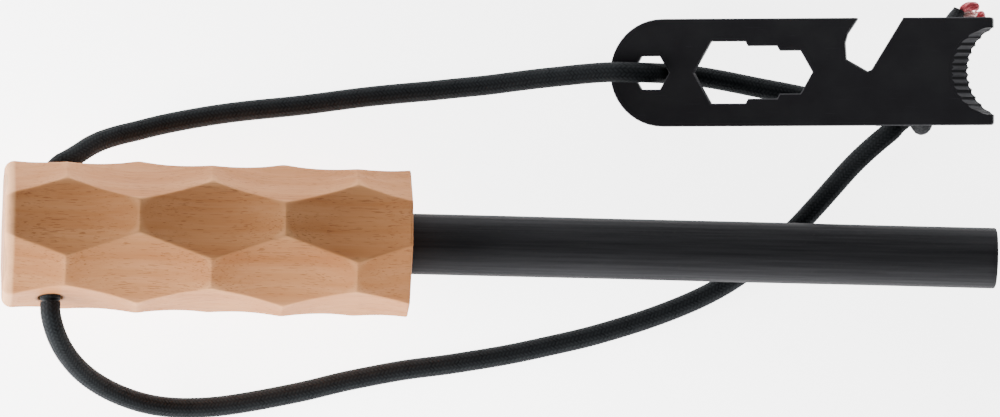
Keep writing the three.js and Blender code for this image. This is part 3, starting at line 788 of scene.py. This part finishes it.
def toothed_edge(y, z):
    tip = edge_arc(y, z) - TOOTH_DEPTH * abs(math.cos(math.pi * y / TOOTH_PITCH))
    return min(tip, SCRAPER_LENGTH - FACE_INSET)


def body_across(name, front, back, steps, low, high, material):
    """A closed body across the plate between two faces, given by their place at each y and z."""
    across = np.arange(-steps, steps + 1) * TOOTH_PITCH / STEPS_A_TOOTH
    sections = []
    for y in across:
        sections.append((front(y, low), y, low))
        sections.append((back(y, low), y, low))
        sections.append((back(y, high), y, high))
        sections.append((front(y, high), y, high))
    last = len(sections) - 4
    faces = grid_faces(len(across), 4) + [[3, 2, 1, 0], [last, last + 1, last + 2, last + 3]]
    piece = new_object(name, np.array(sections) * MM, faces, material, smooth=False)
    piece.matrix_world = scraper_place()
    return piece


def old_teeth(material):
    past_the_end = SCRAPER_LENGTH + EDGE_ARC_RADIUS
    return body_across(
        "old_teeth", lambda y, z: past_the_end, lambda y, z: edge_arc(y, z) - CUT_BACK,
        CUT_STEPS, -CUT_OVERRUN, SCRAPER_THICKNESS + CUT_OVERRUN, material,
    )


def new_teeth(material):
    return body_across(
        "new_teeth", toothed_edge, lambda y, z: edge_arc(y, z) - JOINED_BACK,
        JOINED_STEPS, FACE_INSET, SCRAPER_THICKNESS - FACE_INSET, material,
    )


def volume_of(mesh):
    shape = bmesh.new()
    shape.from_mesh(mesh)
    volume = abs(shape.calc_volume())
    shape.free()
    return volume


def make_scraper(coat):
    """The plate with its wider teeth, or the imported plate's own mesh where cutting them failed."""
    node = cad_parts["scraper"]
    packed = node.data.copy()
    piece = bpy.data.objects.new("scraper_plate", node.data.copy())
    bpy.context.collection.objects.link(piece)
    piece.data.materials.clear()
    piece.data.materials.append(coat)
    weld = piece.modifiers.new("weld", "WELD")
    weld.merge_threshold = WELD_REACH
    flat = piece.modifiers.new("flat", "DECIMATE")
    flat.decimate_type = "DISSOLVE"
    flat.angle_limit = FLAT_ANGLE
    tools = [("DIFFERENCE", old_teeth(coat)), ("UNION", new_teeth(coat))]
    for operation, tool in tools:
        step = piece.modifiers.new(tool.name, "BOOLEAN")
        step.operation = operation
        step.solver = "EXACT"
        step.object = tool
    join = piece.modifiers.new("join", "WELD")
    join.merge_threshold = JOIN_REACH
    piece.modifiers.new("triangles", "TRIANGULATE").ngon_method = "BEAUTY"
    apply_modifiers(piece)
    for _, tool in tools:
        bpy.data.objects.remove(tool)
    if abs(volume_of(piece.data) / volume_of(packed) - 1) > VOLUME_MAY_CHANGE:
        print("the teeth could not be cut, so the packed plate is shown")
        packed.materials.clear()
        packed.materials.append(coat)
        piece.data = packed
    place = scraper_place()
    piece.data.transform(place @ Matrix.Scale(PLATE_WIDENING, 4, (0, 1, 0)) @ place.inverted())
    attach(piece, "scraper")
    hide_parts("scraper")


def dress_adhesive(material):
    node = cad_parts["rod_adhesive"]
    node.data.materials.clear()
    node.data.materials.append(material)


# Cord pieces. The runs narrow where the knot draws them in, and its strands overlap them there.

KNOT_NARROWING = 0.5
KNOT_NARROWING_REACH = 1.6
STRAND_OVERLAP = 1.4
OVERLAP_STEPS = 12
# The points between which each run goes over from lying with the striker to swinging.
IN_HOLE_FROM = 11.3
IN_HOLE_TO = -13.95
IN_HOLE_RINGS = 160


def drawn_into_knot(line):
    """The cord's radius along a line that ends at the knot, which draws it thinner."""
    steps = np.linalg.norm(np.diff(line[::-1], axis=0), axis=1)
    back = np.concatenate([np.cumsum(steps)[::-1], [0]])
    return CORD_RADIUS - KNOT_NARROWING * np.exp(-(back / KNOT_NARROWING_REACH) ** 2)


def make_lanyard(cord):
    upper_line = curve_through(UPPER_ROUTE + EYELET_ROUTE, BRAID_STEP)
    upper = braided("lanyard_upper", upper_line, drawn_into_knot(upper_line), cord)
    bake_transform(upper)
    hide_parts("lanyard_upper_run", "lanyard_eyelet_run")

    lower_line = curve_through(LOWER_ROUTE, BRAID_STEP)
    lower = braided("lanyard_lower", lower_line, drawn_into_knot(lower_line), cord)
    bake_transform(lower)
    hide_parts("lanyard_lower_run")
    return upper, upper_line, lower, lower_line


def on_striker(x, y, z):
    return striker_place() @ Vector((x * MM, y * MM, z * MM))


def make_cord_in_handle(cord):
    """The cord between the two runs, hidden in the handle's cross hole."""
    hole_x = CROSS_HOLE_FROM_BUTT - HANDLE_LENGTH
    ends = [np.array(on_striker(hole_x, y, 0)) for y in (IN_HOLE_FROM, IN_HOLE_TO)]
    line = np.linspace(*ends, IN_HOLE_RINGS) / MM - SHIFT
    piece = braided("lanyard_through_hole", line, CORD_RADIUS, cord)
    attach(piece, "striker")
    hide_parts("lanyard_in_handle")


# The knot's measures, mostly as shares of CORE_STEP, CORE_RADIUS and WRAP_ANGLE, as in part.mjs.
CORE_STEP = 2 * KNOT_CORD_RADIUS + KNOT_GAP
CORE_RADIUS = CORE_STEP / math.sqrt(2)
WRAP_RADIUS = 1.5 * CORE_STEP
WRAP_ANGLE = 1.5 * math.pi
WRAP_PITCH_SHARE = 2.93
WRAP_START_SHARE = 0.172
WRAP_ROUND_SHARES = (1.07, 0.1)
BIGHT_SHARES = (0.8, 1.38, 0.068)
CORE_LINE_SHARES = (1.7, 1.0, 0.4, 0.0)
WRAP_STEPS = 6
STRAND_STARTS = {"a": 1.25 * math.pi, "b": 0.25 * math.pi}
KNOT_HALF = WRAP_RADIUS * (WRAP_ROUND_SHARES[0] - WRAP_ROUND_SHARES[1] / 2) + KNOT_CORD_RADIUS
KNOT_Z = TABLE_GAP + KNOT_HALF

# The strands' braid, which only the scene has.
STRAND_STEP = 0.14
STRAND_SWELLING = 0.12
STRAND_CARRIERS = 12
STRAND_SIDES = 64


def in_knot(along, radius, angle):
    """A point on the table, from how far along and round the knot's own line it lies."""
    side = radius * math.cos(angle)
    return (
        KNOT_X + along * math.cos(KNOT_TURN) + side * math.sin(KNOT_TURN),
        KNOT_Y + along * math.sin(KNOT_TURN) - side * math.cos(KNOT_TURN),
        KNOT_Z + radius * math.sin(angle),
    )


def strand_points(start_angle):
    """The run of one strand through the knot, as part.mjs ties it."""
    end_angle = start_angle - WRAP_ANGLE
    reach, width, turn = BIGHT_SHARES
    wide, squareness = WRAP_ROUND_SHARES
    line_in = [in_knot(-share * CORE_STEP, CORE_RADIUS, start_angle) for share in CORE_LINE_SHARES]
    line_out = [in_knot(share * CORE_STEP, CORE_RADIUS, end_angle) for share in CORE_LINE_SHARES]
    bight = (reach * CORE_STEP, width * CORE_RADIUS, turn * WRAP_ANGLE)
    points = line_in + [in_knot(bight[0], bight[1], start_angle - bight[2])]
    for i in range(WRAP_STEPS + 1):
        share = WRAP_START_SHARE + (1 - 2 * WRAP_START_SHARE) * i / WRAP_STEPS
        angle = start_angle - share * WRAP_ANGLE
        radius = WRAP_RADIUS * (wide - squareness * math.cos(4 * angle))
        points.append(in_knot(WRAP_PITCH_SHARE * (0.5 - share) * CORE_STEP, radius, angle))
    points.append(in_knot(-bight[0], bight[1], end_angle + bight[2]))
    return points + line_out[::-1]


def carried_on(line, reach):
    """The line with straight stretches past both its ends."""
    before, after = line[0] - line[1], line[-1] - line[-2]
    steps = np.linspace(0, reach, OVERLAP_STEPS)[1:, None]
    start = line[0] + before / np.linalg.norm(before) * steps[::-1]
    end = line[-1] + after / np.linalg.norm(after) * steps
    return np.vstack([start, line, end])


def make_knot(cord):
    strands = []
    for key, start_angle in STRAND_STARTS.items():
        line = carried_on(curve_through(strand_points(start_angle), STRAND_STEP), STRAND_OVERLAP)
        radius = KNOT_CORD_RADIUS + STRAND_SWELLING
        piece = braided("knot_" + key, line, radius, cord, STRAND_CARRIERS, STRAND_SIDES)
        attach(piece, "tether_end")
        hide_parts("knot_strand_" + key)
        strands.append(piece)
    return strands


# The cut ends of the tails: how far each sheath is drawn back or on, how it narrows, and the
# runs of the red tinder strand and the pale yarns that come out of it.
SHEATH_TIPS = {"a": [], "b": [(113.4, 51.6, 6.1)]}
SHEATH_DRAWN_BACK = {"a": 1.4, "b": 0.0}
SHEATH_NARROWING = {"a": 0.0, "b": 0.75}
TINDER_RADII = {"a": 0.85, "b": 0.78}
TINDER_ROUTES = {
    "a": [(115.6, 48.8, 2.4), (116.9, 49.8, 2.7), (118.0, 50.5, 2.9), (118.9, 50.7, 3.0)],
    "b": [(113.9, 51.6, 6.3), (114.7, 52.2, 6.8), (115.8, 52.45, 7.0), (117.5, 52.05, 6.9)],
}
YARN_RUNS = {
    "a": ((115.4, 48.9, 2.5), (116.5, 51.3, 3.1)),
    "b": ((113.4, 50.7, 5.9), (116.6, 51.1, 5.7)),
}
TINDER_STEP = 0.08
YARN_COUNT = 5
YARN_SPREAD = 0.36
YARN_RADIUS = 0.36
YARN_STEP = 0.1
YARN_LIFT, YARN_LIFT_TURN = 0.35, 2.1
YARN_UNEVENNESS, YARN_UNEVEN_TURN = 0.4, 1.7
YARN_TIP_SHARE = 1.3
YARN_BASE_SHARE = 0.5
TAIL_THINNING = 0.35
TAIL_THINNING_SHARE = 0.12


def make_tails(cord, tinder, yarn):
    pieces = []
    for key, route in TAIL_ROUTES.items():
        line = curve_through(route + SHEATH_TIPS[key], BRAID_STEP)
        line = line[: len(line) - int(SHEATH_DRAWN_BACK[key] / BRAID_STEP)]
        share = np.linspace(0, 1, len(line))
        swelling = TAIL_RADIUS - TAIL_THINNING * np.exp(-share / TAIL_THINNING_SHARE)
        swelling -= SHEATH_NARROWING[key] * np.exp(-((1 - share) / TAIL_THINNING_SHARE) ** 2)
        piece = braided("tail_sheath_" + key, line, swelling, cord)
        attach(piece, "tether_end")
        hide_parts("tail_" + key)
        pieces.append(piece)
        pieces += make_cores(key, tinder, yarn)
    return pieces


TWIST_SIDES = 36
TWIST_STRANDS = 3
TWIST_TURN = 4
SWELL_SHARE, SWELL_AT, SWELL_REACH = 0.25, 0.6, 0.25
CLOSES_FROM, CLOSES_OVER, LEAST_CLOSED = 0.86, 0.15, 0.02
ROUGHNESS_SHARE, ROUGH_ROUND, ROUGH_ALONG = 0.05, 9, 31
CORE_SHARE, LOBE_SHARE = 0.82, 0.2


def twisted(name, line, radius, material):
    """A bundle of three twisted strands, swollen past its middle and closed at its end."""
    s = np.linspace(0, 1, len(line))[:, None]
    angle = np.linspace(0, 2 * math.pi, TWIST_SIDES, endpoint=False)[None, :]
    lobes = np.abs(np.cos(TWIST_STRANDS / 2 * (angle + TWIST_TURN * s)))
    swell = 1 + SWELL_SHARE * np.exp(-((s - SWELL_AT) / SWELL_REACH) ** 2)
    closing = np.clip((s - CLOSES_FROM) / CLOSES_OVER, 0, 1)
    close = np.sqrt(np.clip(1 - closing**2, LEAST_CLOSED, 1))
    rough = ROUGHNESS_SHARE * np.sin(ROUGH_ROUND * angle + ROUGH_ALONG * s)
    shape = (CORE_SHARE + LOBE_SHARE * lobes + rough) * swell * close
    return swept(name, line, radius * shape, material)


def make_cores(key, tinder, yarn):
    """The red strand and the pale yarns at one tail's cut end."""
    line = curve_through(TINDER_ROUTES[key], TINDER_STEP)
    red = twisted("tinder_strand_" + key, line, TINDER_RADII[key], tinder)
    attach(red, "tether_end")
    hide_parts("tinder_core_" + key)
    pieces = [red]
    start, end = (np.array(point) for point in YARN_RUNS[key])
    along = (end - start) / np.linalg.norm(end - start)
    side = np.cross((0, 0, 1.0), along)
    for i in range(YARN_COUNT):
        spread = (i - (YARN_COUNT - 1) / 2) * YARN_SPREAD
        lift = YARN_LIFT * math.cos(i * YARN_LIFT_TURN)
        longer = YARN_UNEVENNESS * math.sin(i * YARN_UNEVEN_TURN)
        tip = end + side * spread * YARN_TIP_SHARE + along * longer + (0, 0, lift)
        base = start + side * spread * YARN_BASE_SHARE
        line = curve_through([base, (base + tip) / 2 + (0, 0, lift), tip], YARN_STEP)
        piece = twisted(f"yarn_{key}_{i}", line, YARN_RADIUS, yarn)
        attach(piece, "tether_end")
        pieces.append(piece)
    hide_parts("core_yarns_" + key)
    return pieces


# Floor, light and surroundings

FLOOR_HALF = 6.0
FLOOR_COLOUR = (0.9, 0.9, 0.9, 1)
FLOOR_GLOW_COLOUR = (1.0, 1.0, 1.0, 1)
FLOOR_GLOW = (4.6, 6.0)
FLOOR_GLOW_FROM, FLOOR_GLOW_TO = -0.03, 0.06
GLOW_RISES_TOWARDS = (-0.6, -0.8, 0)
WORLD_COLOUR = (0.96, 0.98, 1.0, 1)
WORLD_STRENGTH = 0.295
# The name, place, size and power of each light, in metres and watts.
SOFT_BOXES = [
    ("front_box", (0.0, -1.03, 0.13), (1.2, 0.24), 11),
    ("left_box", (-0.43, -0.115, 0.096), (0.2, 0.32), 5.5),
    ("back_box", (0.0, 1.05, 0.25), (1.4, 0.4), 5.2),
]


def make_stage():
    """A pale floor whose glow rises towards the near left, as the photo's does, and a dim sky."""
    corners = np.array([(-1, -1, 0), (1, -1, 0), (1, 1, 0), (-1, 1, 0)]) * FLOOR_HALF
    n = Nodes("pale_floor")
    n.shade(Base_Color=FLOOR_COLOUR, Roughness=0.6)
    n.shader.inputs["Emission Color"].default_value = FLOOR_GLOW_COLOUR
    lit_from = n.dot(n.place((1, 1, 1)), GLOW_RISES_TOWARDS)
    n.shade(Emission_Strength=n.ramp(lit_from, FLOOR_GLOW_FROM, FLOOR_GLOW_TO, *FLOOR_GLOW))
    floor = new_object("floor", corners, [[0, 1, 2, 3]], n.material, smooth=False)
    world = bpy.data.worlds.new("surroundings")
    world.use_nodes = True
    background = world.node_tree.nodes["Background"]
    background.inputs["Color"].default_value = WORLD_COLOUR
    background.inputs["Strength"].default_value = WORLD_STRENGTH
    bpy.context.scene.world = world


def soft_box(name, at, size, power):
    """A rectangular light that faces the middle of the table."""
    data = bpy.data.lights.new(name, "AREA")
    data.shape = "RECTANGLE"
    data.size, data.size_y = size
    data.energy = power
    light = bpy.data.objects.new(name, data)
    light.location = at
    light.rotation_euler = (-Vector(at)).to_track_quat("-Z", "Y").to_euler()
    bpy.context.collection.objects.link(light)


def main():
    make_camera()
    cord = braided_nylon("cord", *CORD_CREVICE_SHADE_TONES)
    # The knot and tails are the same cord, in a lighter copy of its material: painted light.
    cord_painted_lighter = braided_nylon("cord_painted_lighter_in_knot", *KNOT_LIGHTER_CREVICE_SHADE_TONES)
    tinder = strand_fibre("tinder", *TINDER_FIBRES)
    yarn = strand_fibre("yarn", *YARN_FIBRES)
    upper, upper_line, lower, lower_line = make_lanyard(cord)
    make_cord_in_handle(cord)
    strands = make_knot(cord_painted_lighter)
    tails = make_tails(cord_painted_lighter, tinder, yarn)
    make_handle(beech())
    make_rod(ferrocerium())
    dress_adhesive(cured_adhesive())
    make_scraper(black_coating())
    make_stage()
    for name, at, size, power in SOFT_BOXES:
        soft_box(name, at, size, power)


main()
